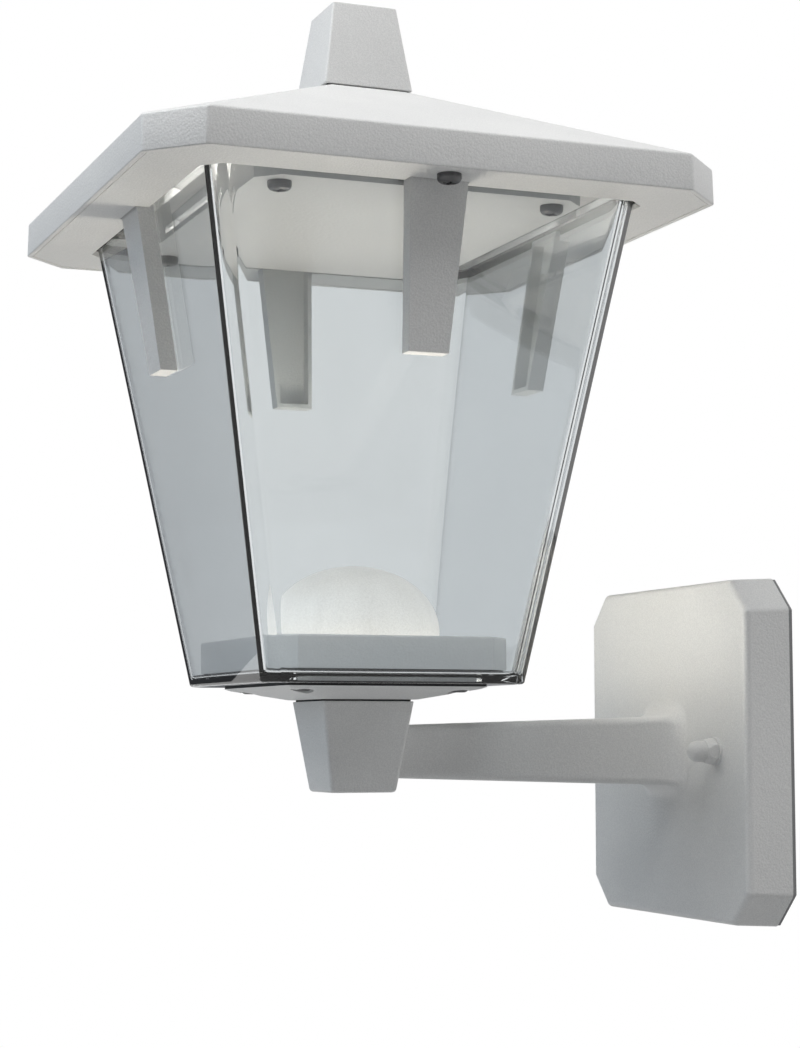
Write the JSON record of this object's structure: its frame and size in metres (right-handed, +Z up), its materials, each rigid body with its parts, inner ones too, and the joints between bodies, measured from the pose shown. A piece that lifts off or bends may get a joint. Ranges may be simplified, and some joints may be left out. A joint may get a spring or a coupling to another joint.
{
  "type": "wall lantern",
  "caption": "Square coach-style wall lantern: tapered glass cup under a low roof with finial, on a stem and arm from a square wall box.",
  "frame": {"origin": "centre of the wall face, between the two wall screws, on the wall's plane", "axes": "+Z up, +Y into the wall, -Y out along the arm to the lantern, +X to the right as seen from in front"},
  "size_m": [0.2, 0.2414, 0.3257],
  "materials": {
    "white_coat": "white powder coat, fine texture",
    "zinc_steel": "zinc plated",
    "black_screw": "blackened, satin",
    "nut_plate": "nickel plated, bright",
    "brass_screw": "bright",
    "seal_foam": "closed-cell foam",
    "black_rubber": "moulded",
    "terminal_plastic": "moulded",
    "driver_case": "potted case",
    "clear_glass": "clear, pressed",
    "board_white": "white solder mask",
    "led_phosphor": "phosphor",
    "opal_plastic": "opal, satin gloss"
  },
  "bodies": {
    "lantern": {"wall_bracket": "zinc_steel", "bracket_studs": "zinc_steel", "stud_lock_nuts": "zinc_steel", "wall_gasket": "seal_foam", "wall_box_arm": "white_coat", "terminal_block": "terminal_plastic", "terminal_screws": "zinc_steel", "terminal_fixings": "zinc_steel", "earth_screw": "brass_screw", "wire_grommet": "black_rubber", "stem_block": "white_coat", "stem_plug": "white_coat", "arm_nipple": "zinc_steel", "arm_nipple_nut": "zinc_steel", "base_nipple": "zinc_steel", "base_nipple_nuts": "zinc_steel", "stem_gasket": "seal_foam", "base_pan": "white_coat", "base_screws": "black_screw", "lower_gasket": "seal_foam", "glass_cup": "clear_glass", "upper_gasket": "seal_foam", "plinth": "white_coat", "driver": "driver_case", "led_board": "board_white", "led_chips": "led_phosphor", "board_screws": "zinc_steel", "dome": "opal_plastic", "roof_shell": "white_coat", "soffit_panel": "white_coat", "soffit_screws": "black_screw", "flange_gasket": "seal_foam", "flange_seal": "seal_foam", "claw_right": "white_coat", "claw_left": "white_coat", "claw_rear": "white_coat", "claw_front": "white_coat", "tray": "white_coat", "tray_screws": "black_screw", "finial": "white_coat", "finial_seal": "seal_foam", "finial_screw": "zinc_steel"},
    "washer_left": {"nut_washer_left": "nut_plate"},
    "nut_left": {"cap_nut_left": "nut_plate"},
    "washer_right": {"nut_washer_right": "nut_plate"},
    "nut_right": {"cap_nut_right": "nut_plate"}
  },
  "joints": [
    {"name": "washer_left_slide", "type": "slide", "parent": "lantern", "child": "washer_left", "axis": [0, -1, 0], "range_m": [0, 0.0065]},
    {"name": "nut_left_turn", "type": "hinge", "parent": "washer_left", "child": "nut_left", "pos_m": [-0.0384, -0.025, 0], "axis": [0, -1, 0], "range_deg": [0, 2926]},
    {"name": "washer_right_slide", "type": "slide", "parent": "lantern", "child": "washer_right", "axis": [0, -1, 0], "range_m": [0, 0.0065]},
    {"name": "nut_right_turn", "type": "hinge", "parent": "washer_right", "child": "nut_right", "pos_m": [0.0384, -0.025, 0], "axis": [0, -1, 0], "range_deg": [0, 2926]}
  ],
  "couplings": [
    {"joint": "nut_left_turn", "follows": "washer_left_slide", "rad_per_m": 7854},
    {"joint": "nut_right_turn", "follows": "washer_right_slide", "rad_per_m": 7854}
  ]
}
